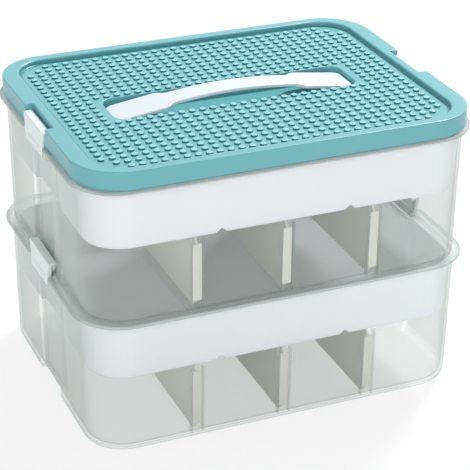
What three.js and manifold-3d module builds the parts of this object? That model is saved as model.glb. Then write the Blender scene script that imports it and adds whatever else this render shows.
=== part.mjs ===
// A storage box for building blocks, in millimetres, with +Z up, its length along X and its front towards -Y.
// Two clear boxes stand one on the other. Each holds three dividers and a loose tray, and has a latch at each
// end. A studded lid with a carrying strap closes the upper box.

import * as THREE from 'three';
import { mergeGeometries, mergeVertices } from 'three/addons/utils/BufferGeometryUtils.js';
import Module from 'manifold-3d';

const wasm = await Module();
wasm.setup();

// Clearances
const seatGap = 0.3; // under a piece that rests on another
const slideGap = 0.3; // beside a piece that slides past another
const overrun = 2; // how far a cut reaches past the surface that it opens
const rooted = 0.8; // how deep an added rib or block is sunk into the wall that carries it
const mergeDistance = 0.0001;

// Clear boxes
const boxLength = 295; // outside the walls at the rim, along X
const boxDepth = 218; // outside the walls at the rim, along Y
const boxHeight = 106.2;
const boxCornerRadius = 33;
const boxWall = 2;
const wallLean = 1.4; // how far each wall leans in from the rim to the foot
const floorThickness = 2;
const floorFillet = 7; // inside, between floor and walls
const footInset = 1; // the foot steps in, to stand inside the rim below
const footRadius = 3.5;
const nestDepth = 4; // how far the foot sinks below the rim below
const flangeOverhangEnd = 5;
const flangeOverhangSide = 4;
const flangeThickness = 2.7;
const flangeEdge = 0.6; // bevel on the flange's upper edge
const channelDepth = 3.4; // the groove down the middle of each end wall
const ledgeWidth = 1.5; // the ledge inside the rim that carries the tray
const ledgeThickness = 1.5;
const guideRibWidth = 1.2;
const guideRibDepth = 4;

// Trays
const trayReach = 48; // from the rim down to the tray's underside
const trayWall = 1.6;
const trayLean = 1.4;
const trayFillet = 2.4;
const trayLipThickness = 1.3;
const trayLipDrop = 0.8; // from the box above down to the lip
const foldPlace = 49.3; // the floor is folded up at this distance from the middle
const foldWidth = 8;
const foldHeight = 3;

// Dividers
const dividerPitch = 68.3;
const dividersPerBox = 3;
const dividerWeb = 1.8;
const dividerEndWidth = 7;
const dividerEndThickness = 1.6;
const dividerTopChamfer = 4;
const dividerHeadroom = 0.5; // under the tray

// Latches
const latchWidth = 46;
const latchSideGap = 0.5;
const latchStandOff = 0.3; // from the wall's outer face to the latch plate
const latchThickness = 3.5;
const latchAboveRim = 9.9;
const latchBelowRim = 9.5;
const latchTopRound = 1.2;
const latchFlare = 0.3; // how far the finger lip stands out at the bottom
const latchTaper = 4; // how much narrower the plate is at the bottom, on each side
const latchFlareHeight = 3;
const hookThickness = 2.6;
const hookReach = 2.8; // from the wall's outer face inwards
const hookChamfer = 0.8;
const catchDrop = 0.7; // from the hook down to the catch that it closes over
const catchHeight = 2.5;
const catchEndGap = 3; // the catch on the box stops short of the channel's sides
const pivotInset = 0.5; // from the wall's outer face inwards
const pivotDrop = 7; // from the rim down
const barrelRadius = 1.6;
const pinRadius = 1.1;
const pinLength = 2; // past the end of the latch
const pinHoleGap = 0.35; // around the pin
const cheekWidth = 3.5;
const cheekReach = 3; // out from the wall
const cheekHeight = 9.5;
const dishLength = 32;
const dishHeight = 9;
const dishDepth = 0.7;
const dishSlope = 1.6;
const dishDrop = 0.6; // from the rim down to the middle of the dish

// Lid
const lidOverhangEnd = 2.5; // past the box's wall
const lidOverhangSide = 3.2;
const lidHeight = 13.6;
const lidCornerEase = 4; // how much rounder its corners are than the box's
const lidWall = 2;
const lidPlate = 2.2;
const lidEdgeRadius = 0.9;
const lidRimEnd = 13.2;
const lidRimSide = 8.2;
const panelDrop = 3.6; // from the rim down to the studded panel
const panelCornerRadius = 26;
const notchReach = 4.1; // from the box's outer face in to the wall behind the hook
const plugDepth = 4; // the ring that drops inside the box's rim
const plugWall = 2;
const plugEndGap = 2.5; // beside the channel

// Recess under the strap
const recessLength = 190;
const recessDepth = 41;
const recessCornerRadius = 10;
const recessDrop = 10.3; // from the panel down

// Studs on the lid's panel
const studPitch = 8;
const studRadius = 2.4;
const studHeight = 1.3;
const studEdgeMargin = 7; // from the panel's edge in to the centres of the outermost studs
const recessLandEnd = 6; // no stud stands this close to the recess's ends
const recessLandSide = 3.2; // or this close to its long sides

// Carrying strap
const strapEndGap = 0.8; // from the recess's end
const strapSideGap = 6; // from the recess's long sides to the strap's wide ends
const strapThickness = 2.6;
const strapCrest = 2.7; // above the lid's rim
const strapBowDepth = 12.3; // the bow is part of a cosine wave, this far from top to bottom
const strapBowHalf = 136; // and this far along X from its crest to its trough
const strapWaist = 4.8; // how much the grip is drawn in on each side
const strapPadLength = 42.8; // from the strap's end to its shoulder
const strapShoulderLength = 8.6;
const strapCornerRadius = 7;
const strapEdge = 0.8;
const legEndDistance = 12; // from the strap's end
const legSideDistance = 6.5; // from the strap's long sides
const legThickness = 6;
const tongueThickness = 2.4;
const slotGap = 0.4; // around the tongue
const barbHeight = 1.5;
const strapPlay = 2.5; // how far the strap can be drawn up

// Fineness of the curves
const cornerSteps = 4;
const filletSteps = 3;
const pinSides = 16;
const strapStations = 28;

// Worked out sizes, shared by pieces that meet
const halfLength = boxLength / 2;
const halfDepth = boxDepth / 2;
const tierPitch = boxHeight - nestDepth;
const channelHalf = latchWidth / 2 + latchSideGap;
const footHeight = nestDepth + seatGap;
const ledgeDrop = nestDepth + trayLipDrop + trayLipThickness + seatGap;
const ledgeInset = boxWall + ledgeWidth;
const trayUnderside = boxHeight - trayReach;
const dividerHalfLength = halfDepth - ledgeInset - leanAt(boxHeight - ledgeDrop) - slideGap;
const hookTip = halfLength - hookReach;
const hookUnderside = latchAboveRim - hookThickness;
const catchTop = hookUnderside - catchDrop;
const catchOut = hookTip - slideGap;
const pivotOut = halfLength - pivotInset;
const lidLength = boxLength + lidOverhangEnd + lidOverhangEnd;
const lidDepth = boxDepth + lidOverhangSide + lidOverhangSide;
const lidCornerRadius = boxCornerRadius + lidCornerEase;
const notchBack = halfLength - notchReach;
const panelLength = lidLength - lidRimEnd - lidRimEnd;
const panelDepth = lidDepth - lidRimSide - lidRimSide;
const panelTop = lidHeight - panelDrop;
const recessFloor = panelTop - recessDrop;
const strapLength = recessLength - strapEndGap - strapEndGap;
const strapEndWidth = recessDepth - strapSideGap - strapSideGap;
const strapGripWidth = strapEndWidth - strapWaist - strapWaist;
const strapShoulder = strapLength / 2 - strapPadLength;
const legPlace = strapLength / 2 - legEndDistance;
const legWidth = strapEndWidth - legSideDistance - legSideDistance;

// How far the wall stands inside its place at the rim, at a height above the box's foot.
function leanAt(height) {
  return wallLean * (1 - height / boxHeight);
}

// Turns a closed geometry into a solid that can be joined and cut.
function solid(geometry) {
  const bare = geometry.clone();
  bare.deleteAttribute('normal');
  bare.deleteAttribute('uv');
  const merged = mergeVertices(bare, mergeDistance);
  const vertProperties = merged.attributes.position.array;
  const triVerts = new Uint32Array(merged.index.array);
  return new wasm.Manifold(new wasm.Mesh({ numProp: 3, vertProperties, triVerts }));
}

function joined(solids) {
  return solids.reduce((whole, piece) => whole.add(piece));
}

// A block between two corners.
function block(x0, x1, y0, y1, z0, z1) {
  const geometry = new THREE.BoxGeometry(x1 - x0, y1 - y0, z1 - z0);
  geometry.translate((x0 + x1) / 2, (y0 + y1) / 2, (z0 + z1) / 2);
  return solid(geometry);
}

// The outline of a box at an inset from its rim: a rounded rectangle with a channel in each end.
// grow pushes the outline out past the walls at the ends and sides, but leaves the channel's floor.
function boxShape(inset, growEnd = 0, growSide = 0) {
  const x = halfLength - inset + growEnd;
  const y = halfDepth - inset + growSide;
  const r = boxCornerRadius - inset + Math.min(growEnd, growSide);
  const channelX = halfLength - channelDepth - inset;
  const channelY = channelHalf + inset;
  const shape = new THREE.Shape();
  shape.moveTo(x, channelY);
  shape.absarc(x - r, y - r, r, 0, Math.PI / 2);
  shape.absarc(r - x, y - r, r, Math.PI / 2, Math.PI);
  shape.lineTo(-x, channelY);
  shape.lineTo(-channelX, channelY);
  shape.lineTo(-channelX, -channelY);
  shape.lineTo(-x, -channelY);
  shape.absarc(r - x, r - y, r, Math.PI, Math.PI * 3 / 2);
  shape.absarc(x - r, r - y, r, Math.PI * 3 / 2, Math.PI * 2);
  shape.lineTo(x, -channelY);
  shape.lineTo(channelX, -channelY);
  shape.lineTo(channelX, channelY);
  shape.lineTo(x, channelY);
  return shape;
}

function roundedRectangle(length, depth, radius) {
  const x = length / 2 - radius;
  const y = depth / 2 - radius;
  const shape = new THREE.Shape();
  shape.absarc(x, y, radius, 0, Math.PI / 2);
  shape.absarc(-x, y, radius, Math.PI / 2, Math.PI);
  shape.absarc(-x, -y, radius, Math.PI, Math.PI * 3 / 2);
  shape.absarc(x, -y, radius, Math.PI * 3 / 2, Math.PI * 2);
  shape.closePath();
  return shape;
}

// A closed solid through level outlines of equally many points, from the lowest to the highest.
function loft(levels) {
  const rings = levels.map(({ shape }) => {
    const points = shape.getPoints(cornerSteps);
    if (points[0].distanceTo(points[points.length - 1]) < mergeDistance) points.pop();
    return points;
  });
  const count = rings[0].length;
  const positions = rings.flatMap((ring, level) => ring.flatMap(({ x, y }) => [x, y, levels[level].z]));
  const faces = [];
  for (let level = 0; level < rings.length - 1; level += 1) {
    for (let i = 0; i < count; i += 1) {
      const next = (i + 1) % count;
      const low = level * count;
      const high = low + count;
      faces.push(low + i, low + next, high + next, low + i, high + next, high + i);
    }
  }
  const last = (rings.length - 1) * count;
  THREE.ShapeUtils.triangulateShape(rings[0], []).forEach(([a, b, c]) => faces.push(c, b, a));
  THREE.ShapeUtils.triangulateShape(rings[rings.length - 1], []).forEach(([a, b, c]) => {
    faces.push(last + a, last + b, last + c);
  });
  const geometry = new THREE.BufferGeometry();
  geometry.setAttribute('position', new THREE.Float32BufferAttribute(positions, 3));
  geometry.setIndex(faces);
  return geometry;
}

// Levels of a quarter round that starts flat at the bottom and ends upright.
function filletLevels(bottom, inset, radius, shapeAt) {
  return Array.from({ length: filletSteps + 1 }, (_, step) => {
    const angle = Math.PI / 2 * step / filletSteps;
    const z = bottom + radius * (1 - Math.cos(angle));
    return { z, shape: shapeAt(inset + radius * (1 - Math.sin(angle))) };
  });
}

// An outline in X and Z, drawn out along Y between two places.
function extrudedAlongY(outline, y0, y1) {
  const shape = new THREE.Shape(outline.map(([x, z]) => new THREE.Vector2(x, z)));
  const geometry = new THREE.ExtrudeGeometry(shape, { depth: y1 - y0, bevelEnabled: false });
  geometry.rotateX(Math.PI / 2);
  geometry.translate(0, y1, 0);
  return solid(geometry);
}

// An outline in Y and Z, drawn out along X between two places.
function extrudedAlongX(outline, x0, x1) {
  const shape = new THREE.Shape(outline.map(([y, z]) => new THREE.Vector2(y, z)));
  const geometry = new THREE.ExtrudeGeometry(shape, { depth: x1 - x0, bevelEnabled: false });
  geometry.rotateX(Math.PI / 2);
  geometry.rotateZ(Math.PI / 2);
  geometry.translate(x0, 0, 0);
  return solid(geometry);
}

function rodAlongY(radius, x, z, y0, y1) {
  const geometry = new THREE.CylinderGeometry(radius, radius, y1 - y0, pinSides);
  geometry.translate(x, (y0 + y1) / 2, z);
  return solid(geometry);
}

// The same solid turned half round, for the other end.
function bothEnds(rightHand) {
  return rightHand.add(rightHand.rotate([0, 0, 180]));
}

function dividerPlaces() {
  return Array.from({ length: dividersPerBox }, (_, i) => (i - (dividersPerBox - 1) / 2) * dividerPitch);
}

// One clear box, standing on z = 0.
function boxSolid() {
  const wallTop = boxHeight - ledgeDrop;
  const ledgeBottom = wallTop - ledgeThickness;
  const slopeBottom = ledgeBottom - ledgeWidth;
  const outside = solid(loft([
    ...filletLevels(0, wallLean + footInset, footRadius, boxShape),
    { z: footHeight, shape: boxShape(leanAt(footHeight) + footInset) },
    { z: footHeight, shape: boxShape(leanAt(footHeight)) },
    { z: boxHeight, shape: boxShape(0) },
  ]));
  const flangeBottom = boxHeight - flangeThickness;
  const flangeShape = (edge) => boxShape(0, flangeOverhangEnd - edge, flangeOverhangSide - edge);
  const flange = solid(loft([
    { z: flangeBottom, shape: flangeShape(0) },
    { z: boxHeight - flangeEdge, shape: flangeShape(0) },
    { z: boxHeight, shape: flangeShape(flangeEdge) },
  ]));
  const innerInset = (height) => leanAt(height) + boxWall;
  const inside = solid(loft([
    ...filletLevels(floorThickness, innerInset(floorThickness), floorFillet, boxShape),
    { z: slopeBottom, shape: boxShape(innerInset(slopeBottom)) },
    { z: ledgeBottom, shape: boxShape(innerInset(ledgeBottom) + ledgeWidth) },
    { z: wallTop, shape: boxShape(innerInset(wallTop) + ledgeWidth) },
    { z: wallTop, shape: boxShape(innerInset(wallTop)) },
    { z: boxHeight + overrun, shape: boxShape(boxWall) },
  ]));

  const ribTop = trayUnderside - dividerHeadroom;
  const ribIn = halfDepth - boxWall - guideRibDepth;
  const ribs = dividerPlaces().flatMap((x) => [-1, 1].flatMap((side) => {
    const near = dividerEndWidth / 2 + slideGap;
    const far = near + guideRibWidth;
    const x0 = x + (side < 0 ? -far : near);
    const x1 = x0 + guideRibWidth;
    return [block(x0, x1, ribIn, halfDepth, 0, ribTop), block(x0, x1, -halfDepth, -ribIn, 0, ribTop)];
  }));

  const catchOnFoot = nestDepth + catchTop;
  const catchBlock = block(
    halfLength - channelDepth - wallLean - rooted, catchOut,
    catchEndGap - channelHalf, channelHalf - catchEndGap,
    catchOnFoot - catchHeight, catchOnFoot,
  );
  const cheeks = [-1, 1].map((side) => {
    const y0 = side < 0 ? -channelHalf - cheekWidth : channelHalf;
    const cheekTop = boxHeight - flangeThickness + rooted;
    return block(halfLength - rooted - leanAt(0), halfLength + cheekReach, y0, y0 + cheekWidth,
      boxHeight - cheekHeight, cheekTop);
  });
  const holeEnd = latchWidth / 2 + pinLength + slideGap;
  const holes = rodAlongY(pinRadius + pinHoleGap, pivotOut, boxHeight - pivotDrop, -holeEnd, holeEnd);
  const shell = outside.add(flange).subtract(inside.subtract(joined(ribs)));
  return shell.add(bothEnds(joined([catchBlock, ...cheeks]))).subtract(bothEnds(holes));
}

// One loose tray, in the frame of the box that holds it.
function traySolid() {
  const ledgeTop = boxHeight - ledgeDrop;
  const lipBottom = ledgeTop + seatGap;
  const lipTop = lipBottom + trayLipThickness;
  const wallInset = ledgeInset + leanAt(ledgeTop - ledgeThickness) + slideGap;
  const lipInset = boxWall + leanAt(lipBottom) + slideGap;
  const outside = solid(loft([
    ...filletLevels(trayUnderside, wallInset + trayLean, trayFillet, boxShape),
    { z: lipBottom, shape: boxShape(wallInset) },
    { z: lipBottom, shape: boxShape(lipInset) },
    { z: lipTop, shape: boxShape(lipInset) },
  ]));
  const trayFloor = trayUnderside + trayWall;
  const inside = solid(loft([
    ...filletLevels(trayFloor, wallInset + trayLean + trayWall, trayFillet, boxShape),
    { z: lipTop + overrun, shape: boxShape(wallInset + trayWall) },
  ]));
  const slope = foldHeight / (foldWidth / 2);
  const ridgeTop = trayUnderside + foldHeight + trayWall * Math.hypot(1, slope);
  const ridgeHalf = (ridgeTop - trayUnderside + overrun) / slope;
  const grooveHalf = (foldHeight + overrun) / slope;
  const folds = [-foldPlace, foldPlace];
  const ridges = joined(folds.map((x) => extrudedAlongY([
    [x - ridgeHalf, trayUnderside - overrun],
    [x + ridgeHalf, trayUnderside - overrun],
    [x, ridgeTop],
  ], -halfDepth, halfDepth)));
  const grooves = joined(folds.map((x) => extrudedAlongY([
    [x - grooveHalf, trayUnderside - overrun],
    [x + grooveHalf, trayUnderside - overrun],
    [x, trayUnderside + foldHeight],
  ], -halfDepth, halfDepth)));
  return outside.subtract(inside.subtract(ridges)).subtract(grooves);
}

// One divider, standing across the middle of its box.
function dividerSolid() {
  const y = dividerHalfLength;
  const low = floorThickness + seatGap;
  const high = trayUnderside - dividerHeadroom;
  const outline = [
    [floorFillet - y, low],
    [y - floorFillet, low],
    [y, low + floorFillet],
    [y, high - dividerTopChamfer],
    [y - dividerTopChamfer, high],
    [dividerTopChamfer - y, high],
    [-y, high - dividerTopChamfer],
    [-y, low + floorFillet],
  ];
  const whole = extrudedAlongX(outline, -dividerEndWidth / 2, dividerEndWidth / 2);
  const pocketEnd = y - dividerEndThickness;
  const pocket = block(dividerWeb / 2, dividerEndWidth, -pocketEnd, pocketEnd, low - overrun, high + overrun);
  return whole.subtract(bothEnds(pocket));
}

// The latch at the right-hand end, with its pivot on the Y axis. Its sides are trimmed to the taper.
function latchSolid() {
  const inner = latchStandOff + pivotInset;
  const outer = inner + latchThickness;
  const tip = pivotInset - hookReach;
  const top = latchAboveRim + pivotDrop;
  const under = hookUnderside + pivotDrop;
  const bottom = pivotDrop - latchBelowRim;
  const half = latchWidth / 2;
  const plate = extrudedAlongY([
    [inner, bottom],
    [outer + latchFlare, bottom],
    [outer, bottom + latchFlareHeight],
    [outer, top - latchTopRound],
    [outer - latchTopRound, top],
    [tip + hookChamfer, top],
    [tip, top - hookChamfer],
    [tip, under],
    [inner, under],
  ], -half, half);
  const low = bottom - overrun;
  const lowHalf = half - latchTaper * (top - low) / (top - bottom);
  const trims = [-1, 1].map((side) => extrudedAlongX([
    [side * half, top],
    [side * (half + overrun), top],
    [side * (half + overrun), low],
    [side * lowHalf, low],
  ], tip - overrun, outer + latchFlare + overrun));
  const barrel = rodAlongY(barrelRadius, 0, 0, -half, half);
  const pin = rodAlongY(pinRadius, 0, 0, -half - pinLength, half + pinLength);
  const dish = loft([
    { z: outer - dishDepth, shape: roundedRectangle(dishHeight, dishLength, dishSlope) },
    { z: outer, shape: roundedRectangle(dishHeight + dishSlope, dishLength + dishSlope, dishSlope) },
    { z: outer + overrun, shape: roundedRectangle(dishHeight + dishSlope, dishLength + dishSlope, dishSlope) },
  ]);
  dish.rotateY(Math.PI / 2);
  dish.translate(0, 0, pivotDrop - dishDrop);
  return plate.subtract(joined(trims)).add(barrel).add(pin).subtract(solid(dish));
}

// Centres of the studs: a square grid over the panel, without the recess and its border.
function studPlaces() {
  const x = panelLength / 2 - studEdgeMargin;
  const y = panelDepth / 2 - studEdgeMargin;
  const corner = panelCornerRadius - studEdgeMargin;
  const lines = (reach) => {
    const count = Math.floor(reach / studPitch);
    return Array.from({ length: count + count + 1 }, (_, i) => (i - count) * studPitch);
  };
  const onPanel = (px, py) => Math.hypot(
    Math.max(Math.abs(px) - x + corner, 0), Math.max(Math.abs(py) - y + corner, 0),
  ) <= corner;
  const nearRecess = (px, py) => Math.abs(px) < recessLength / 2 + recessLandEnd
    && Math.abs(py) < recessDepth / 2 + recessLandSide;
  return lines(x).flatMap((px) => lines(y).map((py) => [px, py]))
    .filter(([px, py]) => onPanel(px, py) && !nearRecess(px, py));
}

// Every stud in one solid. A square post stands for each round stud and has its area.
function studSolid() {
  const side = studRadius * Math.sqrt(Math.PI);
  const stud = new THREE.BoxGeometry(side, side, studHeight + rooted);
  const middle = panelTop + (studHeight - rooted) / 2;
  return solid(mergeGeometries(studPlaces().map(([x, y]) => stud.clone().translate(x, y, middle))));
}

// The lid without its strap, with its skirt standing on z = 0.
function lidSolid() {
  const shapeAt = (inset) => roundedRectangle(
    lidLength - inset - inset, lidDepth - inset - inset, lidCornerRadius - inset,
  );
  const edgeLevels = Array.from({ length: filletSteps + 1 }, (_, step) => {
    const angle = Math.PI / 2 * step / filletSteps;
    const z = lidHeight - lidEdgeRadius * (1 - Math.sin(angle));
    return { z, shape: shapeAt(lidEdgeRadius * (1 - Math.cos(angle))) };
  });
  const outside = solid(loft([{ z: 0, shape: shapeAt(0) }, ...edgeLevels]));
  const straight = (shape, z0, z1) => solid(loft([{ z: z0, shape }, { z: z1, shape }]));
  const panelCut = straight(
    roundedRectangle(panelLength, panelDepth, panelCornerRadius), panelTop, lidHeight + overrun,
  );
  const panelBlock = straight(roundedRectangle(
    panelLength + lidPlate + lidPlate, panelDepth + lidPlate + lidPlate, panelCornerRadius + lidPlate,
  ), panelTop - lidPlate, lidHeight);
  const inside = straight(shapeAt(lidWall), -overrun, lidHeight - lidPlate).subtract(panelBlock);
  const recessBlock = straight(roundedRectangle(
    recessLength + lidPlate + lidPlate, recessDepth + lidPlate + lidPlate, recessCornerRadius + lidPlate,
  ), recessFloor - lidPlate, panelTop - lidPlate + rooted);
  const recessCut = straight(
    roundedRectangle(recessLength, recessDepth, recessCornerRadius), recessFloor, lidHeight + overrun,
  );

  const plugInset = boxWall + slideGap;
  const plugShape = (inset) => roundedRectangle(
    boxLength - inset - inset, boxDepth - inset - inset, boxCornerRadius - inset,
  );
  const plugGapHalf = channelHalf + boxWall + plugEndGap;
  const plug = straight(plugShape(plugInset), -plugDepth, lidHeight - lidPlate + rooted)
    .subtract(straight(plugShape(plugInset + plugWall), -plugDepth - overrun, lidHeight + overrun))
    .subtract(block(-lidLength, lidLength, -plugGapHalf, plugGapHalf, -plugDepth - overrun, lidHeight));

  const pocketTop = lidHeight - lidPlate + rooted;
  const pocket = block(notchBack - lidWall, lidLength / 2 - lidWall + rooted,
    -channelHalf - lidWall, channelHalf + lidWall, 0, pocketTop);
  const notch = block(notchBack, lidLength, -channelHalf, channelHalf, -overrun, lidHeight + overrun);
  const ledge = block(notchBack - rooted, catchOut, -channelHalf - rooted, channelHalf + rooted,
    0, catchTop - seatGap);

  const slotHalfX = tongueThickness / 2 + slotGap;
  const slotHalfY = legWidth / 2 + slotGap;
  const slot = block(legPlace - slotHalfX, legPlace + slotHalfX, -slotHalfY, slotHalfY,
    recessFloor - lidPlate - overrun, recessFloor + overrun);
  return outside.subtract(panelCut).subtract(inside).add(recessBlock).subtract(recessCut).add(plug)
    .add(bothEnds(pocket)).subtract(bothEnds(notch)).add(bothEnds(ledge)).subtract(bothEnds(slot))
    .add(studSolid());
}

// The carrying strap with its two legs, in the frame of the lid.
function strapSolid() {
  const half = strapLength / 2;
  const crest = lidHeight + strapCrest;
  const topAt = (x) => crest - strapBowDepth * (1 - Math.cos(Math.PI * x / strapBowHalf)) / 2;
  const smooth = (t) => t * t * (3 - 2 * t);
  const widthAt = (x) => {
    const past = THREE.MathUtils.clamp(
      (Math.abs(x) - strapShoulder + strapShoulderLength / 2) / strapShoulderLength, 0, 1,
    );
    const width = THREE.MathUtils.lerp(strapGripWidth, strapEndWidth, smooth(past));
    const corner = Math.min(Math.max(Math.abs(x) - half + strapCornerRadius, 0), strapCornerRadius);
    const cut = strapCornerRadius - Math.sqrt(strapCornerRadius ** 2 - corner ** 2);
    return width - cut - cut;
  };
  const stations = Array.from({ length: strapStations + 1 }, (_, i) => {
    const share = i / strapStations * 2 - 1;
    return half * Math.sin(Math.PI / 2 * share);
  });
  const geometry = loft(stations.map((x) => {
    const y = widthAt(x) / 2;
    const top = topAt(x);
    const under = top - strapThickness;
    const outline = [
      [y - strapEdge, under],
      [y, under + strapEdge],
      [y, top - strapEdge],
      [y - strapEdge, top],
      [strapEdge - y, top],
      [-y, top - strapEdge],
      [-y, under + strapEdge],
      [strapEdge - y, under],
    ];
    return { z: x, shape: new THREE.Shape(outline.map(([a, b]) => new THREE.Vector2(a, b))) };
  }));
  const upright = new THREE.Matrix4().makeBasis(
    new THREE.Vector3(0, 1, 0), new THREE.Vector3(0, 0, 1), new THREE.Vector3(1, 0, 0),
  );
  geometry.applyMatrix4(upright);

  const underLeg = topAt(legPlace + legThickness / 2) - strapThickness / 2;
  const barbTop = recessFloor - lidPlate - strapPlay - seatGap;
  const legBlock = (thickness, z0, z1) => block(
    legPlace - thickness / 2, legPlace + thickness / 2, -legWidth / 2, legWidth / 2, z0, z1,
  );
  const leg = legBlock(legThickness, recessFloor + seatGap, underLeg)
    .add(legBlock(tongueThickness, barbTop - barbHeight, underLeg))
    .add(legBlock(legThickness, barbTop - barbHeight, barbTop));
  return solid(geometry).add(bothEnds(leg));
}

// Finishes
const clearPlastic = { color: 0xeaf3f1, roughness: 0.12, transparent: true, opacity: 0.35 };
const frostedPlastic = { color: 0xe4e7e6, roughness: 0.35, transparent: true, opacity: 0.7 };
const milkyPlastic = { color: 0xe3e7ef, roughness: 0.3 };
const whitePlastic = { color: 0xf6f8fa, roughness: 0.3 };
const tealPlastic = { color: 0x79c3c6, roughness: 0.35 };

function part(name, shape, finish) {
  const { vertProperties, triVerts } = shape.getMesh();
  const geometry = new THREE.BufferGeometry();
  geometry.setAttribute('position', new THREE.BufferAttribute(vertProperties, 3));
  geometry.setIndex(new THREE.BufferAttribute(triVerts, 1));
  geometry.computeVertexNormals();
  const mesh = new THREE.Mesh(geometry, new THREE.MeshStandardMaterial({ metalness: 0, ...finish }));
  mesh.name = name;
  return mesh;
}

// A box with its dividers, tray and latches.
function tier(name, box, tray, divider, latch) {
  const group = new THREE.Group();
  group.add(part(`${name}_box`, box, clearPlastic));
  group.add(part(`${name}_tray`, tray, milkyPlastic));
  dividerPlaces().forEach((x, i) => {
    const mesh = part(`${name}_divider_${i + 1}`, divider, frostedPlastic);
    mesh.position.x = x;
    group.add(mesh);
  });
  [['left', Math.PI, -pivotOut], ['right', 0, pivotOut]].forEach(([side, turn, x]) => {
    const mesh = part(`${name}_latch_${side}`, latch, whitePlastic);
    mesh.position.set(x, 0, boxHeight - pivotDrop);
    mesh.rotation.z = turn;
    group.add(mesh);
  });
  return group;
}

const box = boxSolid();
const tray = traySolid();
const divider = dividerSolid();
const latch = latchSolid();
const lowerTier = tier('lower', box, tray, divider, latch);
const upperTier = tier('upper', box, tray, divider, latch);
upperTier.position.z = tierPitch;

const cover = new THREE.Group();
cover.add(part('lid', lidSolid(), tealPlastic));
cover.add(part('handle', strapSolid(), whitePlastic));
cover.position.z = tierPitch + boxHeight + seatGap;

const storageBox = new THREE.Group();
storageBox.add(lowerTier, upperTier, cover);

export default storageBox;
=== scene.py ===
"""A stacking storage box, dressed for the studio.

Two clear boxes stand one on the other. Each holds frosted dividers and a milky tray, and has a white latch
at each end. A studded teal lid with a white carrying strap closes the upper box. Lengths are in metres, in
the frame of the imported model, with the front towards -Y.
"""
import logging
import math
from dataclasses import dataclass, field
from enum import Enum

import bmesh
import bpy
import numpy as np
from mathutils import Matrix, Vector
from mathutils.geometry import tessellate_polygon


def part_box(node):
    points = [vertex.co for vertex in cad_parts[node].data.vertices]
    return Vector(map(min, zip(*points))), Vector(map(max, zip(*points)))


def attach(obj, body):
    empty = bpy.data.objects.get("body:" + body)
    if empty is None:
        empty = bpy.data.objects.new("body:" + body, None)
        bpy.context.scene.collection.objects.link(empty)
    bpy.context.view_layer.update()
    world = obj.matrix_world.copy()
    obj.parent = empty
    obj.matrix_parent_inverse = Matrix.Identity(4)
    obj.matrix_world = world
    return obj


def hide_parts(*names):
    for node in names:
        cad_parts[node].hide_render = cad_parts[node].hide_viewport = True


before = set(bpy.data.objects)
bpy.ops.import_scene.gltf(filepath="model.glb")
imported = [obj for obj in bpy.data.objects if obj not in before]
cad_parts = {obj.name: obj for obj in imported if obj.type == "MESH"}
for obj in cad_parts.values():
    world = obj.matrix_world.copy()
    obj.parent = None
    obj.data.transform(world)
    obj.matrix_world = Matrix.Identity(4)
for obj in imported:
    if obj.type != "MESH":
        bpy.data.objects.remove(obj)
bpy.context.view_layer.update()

logging.basicConfig(level=logging.INFO, format="%(message)s")
log = logging.getLogger("storage_box")

MM = 0.001
UP = np.array([0.0, 0.0, 1.0])


class Side(Enum):
    """The two ends of the box, as the turn of the X axis towards them."""

    RIGHT = 1
    LEFT = -1

    def turned(self, points: np.ndarray) -> np.ndarray:
        """Points of the right-hand end, turned half-way round the upright axis for the left."""
        return points * [self.value, self.value, 1]


class Shader(Enum):
    """Node types that the finishes use."""

    NOISE = "ShaderNodeTexNoise"
    COORDINATES = "ShaderNodeTexCoord"
    MAPPING = "ShaderNodeMapping"
    MATH = "ShaderNodeMath"
    MIX = "ShaderNodeMix"
    BUMP = "ShaderNodeBump"
    FACING = "ShaderNodeLayerWeight"
    ATTRIBUTE = "ShaderNodeAttribute"
    LIGHT_PATH = "ShaderNodeLightPath"
    PLASTIC = "ShaderNodeBsdfPrincipled"
    DIFFUSE = "ShaderNodeBsdfDiffuse"
    GLOW = "ShaderNodeEmission"
    BLEND = "ShaderNodeMixShader"
    SURFACE = "ShaderNodeOutputMaterial"
    WORLD = "ShaderNodeOutputWorld"
    SKY = "ShaderNodeBackground"


class Term:
    """A value in a shader. Arithmetic on it adds Math nodes to its recipe."""

    def __init__(self, recipe: "Recipe", socket: bpy.types.NodeSocket) -> None:
        """Keeps the socket and the recipe that it belongs to."""
        self.recipe = recipe
        self.socket = socket

    def math(self, operation: str, *values: "Term | float") -> "Term":
        """Adds one Math node.

        Args:
            operation: the node's operation.
            values: its inputs, in order.

        Returns:
            The node's result.
        """
        return self.recipe.add(Shader.MATH, dict(enumerate(values)), operation=operation)

    def __add__(self, other: "Term | float") -> "Term":
        """self + other."""
        return self.math("ADD", self, other)

    def __radd__(self, other: float) -> "Term":
        """other + self."""
        return self.math("ADD", other, self)

    def __sub__(self, other: "Term | float") -> "Term":
        """self - other."""
        return self.math("SUBTRACT", self, other)

    def __rsub__(self, other: float) -> "Term":
        """other - self."""
        return self.math("SUBTRACT", other, self)

    def __mul__(self, other: "Term | float") -> "Term":
        """self * other."""
        return self.math("MULTIPLY", self, other)

    def __rmul__(self, other: float) -> "Term":
        """other * self."""
        return self.math("MULTIPLY", other, self)

    def __pow__(self, other: float) -> "Term":
        """self to the power of other."""
        return self.math("POWER", self, other)

    def at_most(self, other: "Term | float") -> "Term":
        """The smaller of self and other."""
        return self.math("MINIMUM", self, other)

    def at_least(self, other: "Term | float") -> "Term":
        """The larger of self and other."""
        return self.math("MAXIMUM", self, other)


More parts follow.
